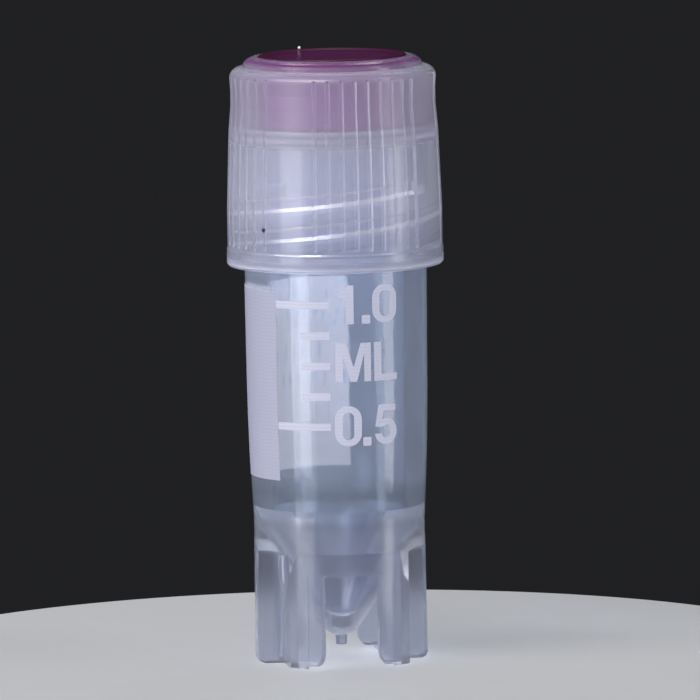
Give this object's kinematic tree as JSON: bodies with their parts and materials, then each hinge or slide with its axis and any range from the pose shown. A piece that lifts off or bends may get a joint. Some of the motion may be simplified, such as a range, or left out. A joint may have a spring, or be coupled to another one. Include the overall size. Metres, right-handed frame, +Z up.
{
  "type": "cryovial",
  "caption": "Self-standing cryogenic vial with conical bottom, star foot and ribbed screw cap with a colour insert.",
  "frame": {"origin": "on the tube's axis, in the plane the six feet stand on", "axes": "+Z up along the tube; -Y is the front, between the graduation marks and the clear side; +X to the right of the graduation marks"},
  "size_m": [0.0144, 0.0144, 0.0406],
  "materials": {
    "clear_polypropylene": "natural translucent",
    "milky_polypropylene": "natural milky",
    "purple_insert": "glossy",
    "silicone": "smooth"
  },
  "bodies": {
    "vial_body": {"vial": "clear_polypropylene"},
    "washer_body": {"seal_washer": "silicone"},
    "cap_body": {"cap": "milky_polypropylene", "colour_insert": "purple_insert"}
  },
  "joints": [
    {"name": "cap_lift", "type": "slide", "parent": "vial_body", "child": "washer_body", "axis": [0, 0, 1], "range_m": [0, 0.01]},
    {"name": "cap_turn", "type": "hinge", "parent": "washer_body", "child": "cap_body", "pos_m": [0, 0, 0.03535], "axis": [0, 0, 1], "range_deg": [0, 905]}
  ],
  "couplings": [
    {"joint": "cap_turn", "follows": "cap_lift", "rad_per_m": 1570.8}
  ]
}
